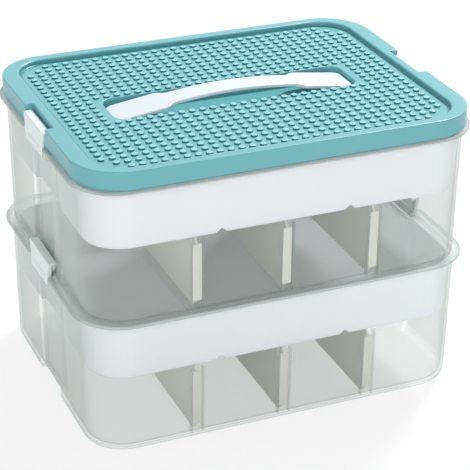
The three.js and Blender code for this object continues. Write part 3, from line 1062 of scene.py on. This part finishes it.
@dataclass
class EndLatch:
    """One white latch: a plate with a hook over the top, a dished face, a finger lip, barrel and pins."""

    node: str
    side: Side
    finish: bpy.types.Material
    half_length: float = 147.5 * MM
    half_width: float = 23 * MM
    stand_off: float = 0.3 * MM
    thickness: float = 3.5 * MM
    flare: float = 0.3 * MM
    flare_height: float = 3 * MM
    taper: float = 4 * MM
    end_edge: float = 0.6 * MM
    hook_reach: float = 2.8 * MM
    hook_thickness: float = 2.6 * MM
    foot_edges: tuple = (0.4 * MM, 0.5 * MM)
    flare_fillet: float = 1.6 * MM
    top_edge: float = 1.3 * MM
    tip_edges: tuple = (0.8 * MM, 0.4 * MM)
    hook_fillet: float = 0.4 * MM
    section_points: int = 260
    middle_points: int = 70
    pivot_inset: float = 0.5 * MM
    pivot_rise: float = 2.5 * MM
    barrel: float = 1.6 * MM
    pin: float = 1.1 * MM
    pin_length: float = 2 * MM
    dish_half: float = 17 * MM
    dish_drop: float = 0.75 * MM
    dish_low: float = 4.2 * MM
    dish_high: float = 14.4 * MM
    dish_slope: float = 2.2 * MM
    face_depth: float = 0.3 * MM

    def profile(self, foot: float, top: float) -> np.ndarray:
        """The latch's section, with its points closely and evenly spaced round it.

        Args:
            foot: the height of its lower end.
            top: the height of the hook's top.

        Returns:
            Points of (distance out, height).
        """
        inner = self.half_length + self.stand_off
        outer = inner + self.thickness
        tip = self.half_length - self.hook_reach
        under, middle = top - self.hook_thickness, (foot + top) / 2
        line = filleted([
            (inner, middle, 0),
            (inner, foot, self.foot_edges[0]),
            (outer + self.flare, foot, self.foot_edges[1]),
            (outer, foot + self.flare_height, self.flare_fillet),
            (outer, top, self.top_edge),
            (tip, top, self.tip_edges[0]),
            (tip, under, self.tip_edges[1]),
            (inner, under, self.hook_fillet),
            (inner, middle, 0),
        ], 8)
        run = np.concatenate([[0], np.cumsum(np.linalg.norm(np.diff(line, axis=0), axis=1))])
        even = np.linspace(0, run[-1], self.section_points, endpoint=False)
        return np.stack([np.interp(even, run, line[:, axis]) for axis in (0, 1)], axis=1)

    def build(self) -> None:
        """Builds the latch and seats it.

        The section is carried along Y. Near its two ends it is drawn in by a quarter round, the plate
        narrows evenly towards its foot, and the outer face sinks into a shallow dish between smooth slopes.
        """
        low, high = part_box(self.node)
        section = self.profile(low.z, high.z)
        soft, half = self.end_edge, self.half_width
        middle = np.linspace(soft - half, half - soft, self.middle_points)
        rounding = half - soft + soft * np.sin(np.linspace(0, math.pi / 2, 5)[1:])
        ys = np.concatenate([-rounding[::-1], middle, rounding])
        edge = np.clip((np.abs(ys) - half + soft) / soft, 0, 1)
        draw_in = soft * (1 - np.sqrt(1 - edge ** 2))
        inward = left_of(np.roll(section, -1, axis=0) - np.roll(section, 1, axis=0))
        grid = section + draw_in[:, None, None] * inward
        height = section[:, 1] - low.z
        in_height = (smooth_step((height - self.dish_low) / self.dish_slope)
                     * smooth_step((self.dish_high - height) / self.dish_slope))
        in_width = smooth_step((self.dish_half - np.abs(ys)) / self.dish_slope)
        on_face = section[:, 0] > self.half_length + self.stand_off + self.thickness - self.face_depth
        grid[..., 0] -= self.dish_drop * in_width[:, None] * (in_height * on_face)
        narrowed = 1 - self.taper / half * (high.z - grid[..., 1]) / (high.z - low.z)
        plate = np.stack([grid[..., 0], ys[:, None] * narrowed, grid[..., 1]], axis=2)[::-1]
        pivot = (self.half_length - self.pivot_inset, low.z + self.pivot_rise)
        barrel = rod_along_y(self.barrel, *pivot, half - soft)
        pins = rod_along_y(self.pin, *pivot, half + self.pin_length, 14)
        skin = Skin()
        for tube in (plate, barrel, pins):
            skin.add_closed_tube(self.side.turned(tube))
        skin.seat(f"{self.node}_white", self.finish, self.node, smooth_angle=45.0)


@dataclass
class StuddedLid:
    """The teal lid: skirt, raised rim, studded panel, recess with slots, latch notches and plug."""

    finish: bpy.types.Material
    node: str = "lid"
    corner: float = 37 * MM
    wall: float = 2 * MM
    plate: float = 2.2 * MM
    height: float = 13.6 * MM
    notch_half: float = 23.5 * MM
    notch_depth: float = 6.6 * MM
    mouth: float = 0.7 * MM
    rim_end: float = 13.2 * MM
    rim_side: float = 8.2 * MM
    panel_corner: float = 26 * MM
    panel_drop: float = 3.6 * MM
    panel_lean: float = 0.3 * MM
    recess_half_length: float = 95 * MM
    recess_half_depth: float = 20.5 * MM
    recess_corner: float = 10 * MM
    recess_drop: float = 10.3 * MM
    recess_lean: float = 0.4 * MM
    skirt_edge: float = 0.9 * MM
    skirt_foot_edges: tuple = (0.4 * MM, 0.5 * MM)
    under_fillet: float = 0.8 * MM
    under_edge: float = 0.6 * MM
    rim_edge: float = 1.5 * MM
    panel_fillet: float = 1.6 * MM
    recess_edge: float = 1.1 * MM
    recess_fillet: float = 2.8 * MM
    under_recess_fillet: float = 2.5 * MM
    rim_reach: float = 3 * MM
    under_reach: float = 0.9 * MM
    panel_reach: float = 1.8 * MM
    under_panel_reach: float = 2 * MM
    floor_reach: float = 6 * MM
    slot_place: float = 82.2 * MM
    slot_half_length: float = 1.6 * MM
    slot_half_width: float = 8.4 * MM
    plug_half_length: float = 145.2 * MM
    plug_half_depth: float = 106.7 * MM
    plug_corner: float = 30.7 * MM
    plug_wall: float = 2 * MM
    plug_depth: float = 4 * MM
    plug_gap_half: float = 28 * MM
    plug_edge: float = 0.4 * MM
    plug_corner_steps: int = 20
    rooted: float = 0.5 * MM
    ledge_out: float = 144.4 * MM
    ledge_rise: float = 0.05 * MM
    ledge_top: float = 6.3 * MM
    ledge_edge: float = 0.3 * MM
    ledge_rooted: float = 0.6 * MM
    stud_pitch: float = 8 * MM
    stud_radius: float = 2.42 * MM
    stud_height: float = 1.3 * MM
    stud_rooted: float = 0.15 * MM
    stud_bevel: float = 0.35 * MM
    stud_bevel_share: float = 0.3
    stud_sides: int = 14
    # painted shade at the foot and under the bevel, painted highlight up the bevel and on the top, ring by
    # ring
    stud_painted_light: tuple = (-1.0, -0.8, 0.3, 1.0)
    # strength of the painted shade down the rim's inner wall
    painted_crease_shade: float = 0.8
    stud_margin: float = 7 * MM
    border_end: float = 6 * MM
    border_side: float = 3.2 * MM

    def build(self) -> None:
        """Builds the lid and seats it."""
        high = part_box(self.node)[1]
        self.half_length, self.half_depth, self.rim = high.x, high.y, high.z
        self.panel_top = self.rim - self.panel_drop
        self.skirt_foot = self.rim - self.height
        skin = Skin()
        self.add_shell(skin)
        self.add_plug(skin)
        self.add_ledges(skin)
        self.add_studs(skin)
        skin.seat("studded_lid", self.finish, self.node)

    def add_shell(self, skin: Skin) -> None:
        """Adds the shell as rings from the underside of the recess, round the skirt, to the recess's floor.

        The wall between the raised rim and the panel carries painted shade, growing down towards the panel.

        Args:
            skin: the mesh to add to.
        """
        outline = NotchedOutline(self.half_length, self.half_depth, self.corner, self.notch_depth,
                                 self.notch_half, self.mouth)
        panel = (self.half_length - self.rim_end, self.half_depth - self.rim_side, self.panel_corner)
        recess = (self.recess_half_length, self.recess_half_depth, self.recess_corner)
        t, w, rim, top = self.plate, self.wall, self.rim, self.panel_top
        floor = top - self.recess_drop
        under_recess = filleted([
            (-self.floor_reach, floor - t, 0), (t, floor - t, self.under_recess_fillet),
            (t, top - t, self.under_edge), (t + self.under_panel_reach, top - t, 0),
        ], 6)
        under_panel = filleted([
            (t - self.under_panel_reach, top - t, 0), (t, top - t, self.under_edge),
            (t, rim - t, self.under_edge), (t + self.under_reach, rim - t, 0),
        ], 4)
        skirt = filleted([
            (w + self.under_reach, rim - t, 0), (w, rim - t, self.under_fillet),
            (w, self.skirt_foot, self.skirt_foot_edges[0]), (0, self.skirt_foot, self.skirt_foot_edges[1]),
            (0, rim, self.skirt_edge), (self.rim_reach, rim, 0),
        ], 7)
        over_panel = filleted([
            (self.rim_reach, rim, 0), (0, rim, self.rim_edge),
            (-self.panel_lean, top, self.panel_fillet), (-self.rim_reach, top, 0),
        ], 8)
        over_recess = filleted([
            (self.panel_reach, top, 0), (0, top, self.recess_edge),
            (-self.recess_lean, floor, self.recess_fillet), (-self.floor_reach, floor, 0),
        ], 7)
        # painted shade down the rim's inner wall: none at the rim's top, strongest at its foot
        sunk = -self.painted_crease_shade * smooth_step((rim - over_panel[:, 1]) / self.panel_drop)
        sunk[-1] = 0
        sections = [
            (outline.plain_rings(*recess, under_recess[:, 0]), under_recess[:, 1], 0.0),
            (outline.plain_rings(*panel, under_panel[:, 0]), under_panel[:, 1], 0.0),
            (outline.rings(skirt[:, 0]), skirt[:, 1], 0.0),
            (outline.plain_rings(*panel, over_panel[:, 0]), over_panel[:, 1], sunk),
            (outline.plain_rings(*recess, over_recess[:, 0]), over_recess[:, 1], 0.0),
        ]
        grid = np.concatenate([stacked(rings, heights) for rings, heights, _ in sections])
        tones = np.concatenate([np.broadcast_to(tone, heights.shape) for _, heights, tone in sections])
        numbers = skin.add_tube(grid, tones[:, None])
        slots = [self.add_slot(skin, side, floor) for side in Side]
        skin.cap_with_holes([numbers[0], *(slot[0] for slot in slots)], facing_back=True)
        skin.cap_with_holes([numbers[-1], *(slot[-1] for slot in slots)])

    def add_slot(self, skin: Skin, side: Side, floor: float) -> np.ndarray:
        """Adds the walls of a slot for one of the strap's legs.

        Args:
            skin: the mesh to add to.
            side: which end of the recess.
            floor: the height of the recess's floor.

        Returns:
            The numbers of the slot's two rings, the lower one first.
        """
        x, y = self.slot_half_length, self.slot_half_width
        corners = np.array([[-x, -y], [-x, y], [x, y], [x, -y]]) + [side.value * self.slot_place, 0]
        return skin.add_tube(stacked(np.repeat(corners[None], 2, axis=0), [floor - self.plate, floor]))

    def add_plug(self, skin: Skin) -> None:
        """Adds the ring that drops inside the box's rim, in a front and a back half between the channels.

        Each half is a section carried round two quarter circles and along the straight line between them.

        Args:
            skin: the mesh to add to.
        """
        foot, top = self.skirt_foot - self.plug_depth, self.rim - self.plate + self.rooted
        x, y, radius = self.plug_half_length, self.plug_half_depth, self.plug_corner
        turn = np.linspace(0, math.pi / 2, self.plug_corner_steps)
        right = np.vstack([[x, self.plug_gap_half], [x - radius, y - radius] + radius * round_points(turn)])
        ends = np.vstack([right, right[::-1] * [-1, 1]])
        inward = left_of(np.gradient(ends, axis=0))
        wall, soft = self.plug_wall, self.plug_edge
        section = np.array([
            (0, top), (0, foot + 3 * soft), (soft, foot),
            (wall - soft, foot), (wall, foot + soft), (wall, top),
        ])
        rings = ends[:, None] + section[:, :1] * inward[:, None]
        heights = np.broadcast_to(section[:, 1:], rings.shape[:2] + (1,))
        skin.add_at_both_ends(np.concatenate([rings, heights], axis=2))

    def add_ledges(self, skin: Skin) -> None:
        """Adds the ledge in each notch that the latch's hook closes over.

        Args:
            skin: the mesh to add to.
        """
        back = self.half_length - self.notch_depth - self.ledge_rooted
        half = self.notch_half + self.rooted
        skin.add_at_both_ends(soft_block((back, -half, self.skirt_foot + self.ledge_rise),
                                         (self.ledge_out, half, self.skirt_foot + self.ledge_top),
                                         self.ledge_edge))

    def stud_places(self) -> np.ndarray:
        """Where the studs stand, in X and Y.

        They lie on a square grid about the middle, keep a margin to the panel's rounded outline, and leave
        out the recess with its border.

        Returns:
            Places with the shape (studs, 2).
        """
        pitch = self.stud_pitch
        x_half = self.half_length - self.rim_end - self.stud_margin
        y_half = self.half_depth - self.rim_side - self.stud_margin
        corner = self.panel_corner - self.stud_margin
        columns, rows = (np.arange(-(half // pitch), half // pitch + 1) * pitch for half in (x_half, y_half))
        grid = np.stack(np.meshgrid(columns, rows), axis=-1).reshape(-1, 2)
        past = np.maximum(np.abs(grid) - [x_half - corner, y_half - corner], 0)
        border = [self.recess_half_length + self.border_end, self.recess_half_depth + self.border_side]
        over_recess = np.all(np.abs(grid) < border, axis=1)
        return grid[(np.hypot(*past.T) <= corner) & ~over_recess]

    def add_studs(self, skin: Skin) -> None:
        """Adds every stud: a short round post with a softened top edge, painted shade below and a painted
        highlight above.

        Args:
            skin: the mesh to add to.
        """
        places = self.stud_places()
        turn = np.linspace(0, 2 * math.pi, self.stud_sides, endpoint=False)
        drawn_in = self.stud_bevel * np.array([0, 0, self.stud_bevel_share, 1])
        sunk = self.stud_bevel * np.array([0, 1, self.stud_bevel_share, 0])
        heights = self.panel_top + self.stud_height - sunk
        heights[0] = self.panel_top - self.stud_rooted
        post = stacked((self.stud_radius - drawn_in)[:, None, None] * round_points(turn), heights)
        level = np.concatenate([places, np.zeros((len(places), 1))], axis=1)
        # each stud's rings carry painted shade low down and a painted highlight on top
        numbers = skin.add_points(level[:, None, None, :] + post, np.array(self.stud_painted_light)[:, None])
        following = np.roll(numbers, -1, axis=2)
        quads = np.stack([numbers[:, :-1], following[:, :-1], following[:, 1:], numbers[:, 1:]], axis=-1)
        skin.faces += quads.reshape(-1, 4).tolist()
        skin.faces += numbers[:, 0, ::-1].tolist() + numbers[:, -1].tolist()
        log.info("%d studs", len(places))


@dataclass
class CarryingStrap:
    """The white strap: a bowed band with wider ends on two barbed legs."""

    finish: bpy.types.Material
    node: str = "handle"
    thickness: float = 2.6 * MM
    bow_depth: float = 12.3 * MM
    bow_half: float = 136 * MM
    end_width: float = 29 * MM
    grip_width: float = 19.4 * MM
    shoulder: float = 51.4 * MM
    shoulder_length: float = 8.6 * MM
    corner: float = 7 * MM
    edge: float = 0.9 * MM
    stations: int = 161
    corner_steps: int = 5
    leg_place: float = 82.2 * MM
    leg_width: float = 16 * MM
    leg_thickness: float = 6 * MM
    leg_edge: float = 0.4 * MM
    leg_rise: float = 0.3 * MM
    leg_into_strap: float = 1.82 * MM
    tongue: float = 2.4 * MM
    tongue_rise: float = 0.2 * MM
    barb_height: float = 1.5 * MM
    floor_below_crest: float = 16.6 * MM

    def build(self) -> None:
        """Builds the strap and seats it."""
        low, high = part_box(self.node)
        self.half, self.foot, self.crest = high.x, low.z, high.z
        skin = Skin()
        skin.add_closed_tube(self.band())
        for block in self.leg():
            skin.add_at_both_ends(block)
        skin.seat("carrying_strap", self.finish, self.node, smooth_angle=45.0)

    def top_at(self, x: np.ndarray | float) -> np.ndarray:
        """The height of the strap's top: a cosine wave that falls from the crest towards the ends."""
        return self.crest - self.bow_depth * (1 - np.cos(np.pi * x / self.bow_half)) / 2

    def band(self) -> np.ndarray:
        """The bowed band as rings along X.

        The section is a rounded rectangle. Its width steps up smoothly at the shoulders, and its ends are
        rounded in plan and in thickness.

        Returns:
            Rings with the shape (stations, points, 3).
        """
        x = self.half * np.sin(np.linspace(-math.pi / 2, math.pi / 2, self.stations))
        past = (np.abs(x) - self.shoulder + self.shoulder_length / 2) / self.shoulder_length
        width = self.grip_width + (self.end_width - self.grip_width) * smooth_step(past)
        into = np.clip(np.abs(x) - self.half + self.corner, 0, self.corner)
        half_width = width / 2 - self.corner + np.sqrt(self.corner ** 2 - into ** 2)
        near_end = np.clip((np.abs(x) - self.half + self.edge) / self.edge, 0, 1)
        half_thick = self.thickness / 2 - self.edge * (1 - np.sqrt(1 - near_end ** 2))
        section = rounded_rectangles(np.stack([half_width, half_thick], axis=1),
                                     np.minimum(self.edge, half_thick), self.corner_steps)
        section[..., 1] += (self.top_at(x) - self.thickness / 2)[:, None]
        return stacked(section, x, along_x=True)

    def leg(self) -> list[np.ndarray]:
        """The right-hand leg: a block on the recess's floor, a tongue through its slot and a barb below.

        Returns:
            The rings of each of the three.
        """
        floor = self.crest - self.floor_below_crest
        into_strap = self.top_at(self.leg_place) - self.leg_into_strap
        half, x = self.leg_width / 2, self.leg_place
        sizes = [
            (self.leg_thickness / 2, floor + self.leg_rise, into_strap),
            (self.tongue / 2, self.foot + self.tongue_rise, into_strap),
            (self.leg_thickness / 2, self.foot, self.foot + self.barb_height),
        ]
        return [soft_block((x - thick, -half, z0), (x + thick, half, z1), self.leg_edge)
                for thick, z0, z1 in sizes]


@dataclass(frozen=True)
class PaleFloor(Finish):
    """A matt floor that keeps its shadow and glows with the second colour where it is seen directly."""

    show: float = 0.8

    def surface(self, recipe: Recipe) -> Term:
        """The matt floor with a share of glow.

        Args:
            recipe: the material's nodes.

        Returns:
            The shader.
        """
        matt = recipe.add(Shader.DIFFUSE, {"Color": self.colour})
        glow = recipe.add(Shader.GLOW, {"Color": self.second_colour, "Strength": 1.0})
        return recipe.add(Shader.BLEND, {0: recipe.seen_directly() * self.show, 1: matt, 2: glow})


@dataclass(frozen=True)
class Lamp:
    """A square soft lamp that looks at the middle of the object."""

    name: str
    place: tuple
    size: float
    power: float
    aim: tuple = (0.0, 0.0, 0.15)

    def build(self) -> None:
        """Hangs the lamp."""
        data = bpy.data.lights.new(self.name, "AREA")
        data.shape = "SQUARE"
        data.size = self.size
        data.energy = self.power
        lamp = add_to_scene(self.name, data)
        lamp.location = self.place
        lamp.rotation_euler = (Vector(self.aim) - Vector(self.place)).to_track_quat("-Z", "Y").to_euler()


@dataclass
class Studio:
    """White floor and surroundings, soft lamps, and the camera at the photograph's view."""

    floor_half: float = 6.0
    floor_drop: float = 0.2 * MM
    white: tuple = shade(255, 255, 255)
    surroundings: float = 0.42
    lamps: tuple = (
        Lamp("key", (1.55, 1.25, 2.35), 0.4, 86.0),
        Lamp("front", (-0.5, -1.5, 0.7), 1.2, 10.0),
        Lamp("left", (-1.5, 0.1, 0.6), 1.0, 1.5),
    )
    camera_place: tuple = (-0.4657, -1.0976, 0.7074)
    azimuth: float = -23.198
    elevation: float = 26.969
    roll: float = 0.684
    lens: float = 134.0
    sensor: float = 36.0

    def build(self) -> None:
        """Builds the floor, the world, the lamps and the camera."""
        self.add_floor()
        self.light_world()
        for lamp in self.lamps:
            lamp.build()
        self.add_camera()

    def add_floor(self) -> None:
        """Adds the floor just below the object."""
        mesh = bpy.data.meshes.new("studio_floor")
        corners = np.array([[[-1, -1], [1, -1], [1, 1], [-1, 1]]]) * self.floor_half
        mesh.from_pydata(stacked(corners, [-self.floor_drop])[0], [], [(0, 1, 2, 3)])
        mesh.materials.append(PaleFloor("pale_floor", shade(248, 248, 248), self.white).material())
        floor = add_to_scene("studio_floor", mesh)

    def light_world(self) -> None:
        """White surroundings to the eye, and an even soft light on the object."""
        world = bpy.data.worlds.new("studio")
        world.use_nodes = True
        bpy.context.scene.world = world
        recipe = Recipe(world.node_tree)
        bright = recipe.add(Shader.SKY, {"Color": self.white, "Strength": 1.0})
        soft = recipe.add(Shader.SKY, {"Color": self.white, "Strength": self.surroundings})
        recipe.show(recipe.add(Shader.BLEND, {0: recipe.seen_directly(), 1: soft, 2: bright}), Shader.WORLD)

    def add_camera(self) -> None:
        """Adds the camera, turned by its azimuth, elevation and roll."""
        azimuth, elevation, roll = (math.radians(v) for v in (self.azimuth, self.elevation, self.roll))
        back = np.array([math.sin(azimuth) * math.cos(elevation), -math.cos(azimuth) * math.cos(elevation),
                         math.sin(elevation)])
        right = np.cross(-back, UP)
        right /= np.linalg.norm(right)
        over = np.cross(right, -back)
        turned_right = math.cos(roll) * right + math.sin(roll) * over
        turned_over = -math.sin(roll) * right + math.cos(roll) * over
        data = bpy.data.cameras.new("photo_view")
        data.lens = self.lens
        data.sensor_width = self.sensor
        camera = add_to_scene("photo_view", data)
        pose = Matrix(np.stack([turned_right, turned_over, back], axis=1).tolist()).to_4x4()
        pose.translation = Vector(self.camera_place)
        camera.matrix_world = pose
        bpy.context.scene.camera = camera


def main() -> None:
    """Builds the finishes, the studio and every piece of the storage box."""
    bpy.context.scene.view_settings.view_transform = "Standard"
    clear = ClearPlastic("clear_plastic", shade(236, 243, 240), shade(156, 174, 165)).material()
    milky = MouldedPlastic("milky_plastic", shade(246, 247, 251), shade(241, 243, 248),
                           roughness=0.36).material()
    frosted = MouldedPlastic("frosted_plastic", shade(229, 227, 218), shade(221, 219, 210),
                             roughness=0.5).material()
    white = MouldedPlastic("white_plastic", shade(220, 228, 233), shade(213, 223, 229)).material()
    minty = MouldedPlastic("latch_plastic", shade(231, 244, 241), shade(225, 240, 236)).material()
    # teal plastic with painted shade on the studs' sides and the rim's inner wall, and a painted highlight
    # on the studs' tops
    teal = ShadePaintedPlastic("teal_plastic_with_painted_shade", shade(110, 181, 187), shade(103, 175, 181)).material()
    Studio().build()
    for tier in ("lower", "upper"):
        ClearBox(tier, clear).build()
        LiftOutTray(tier, milky).build()
        for number in (1, 2, 3):
            DividerPanel(tier, number, frosted).build()
        for side in (Side.LEFT, Side.RIGHT):
            EndLatch(f"{tier}_latch_{side.name.lower()}", side, minty).build()
    StuddedLid(teal).build()
    CarryingStrap(white).build()


if __name__ == "__main__":
    main()
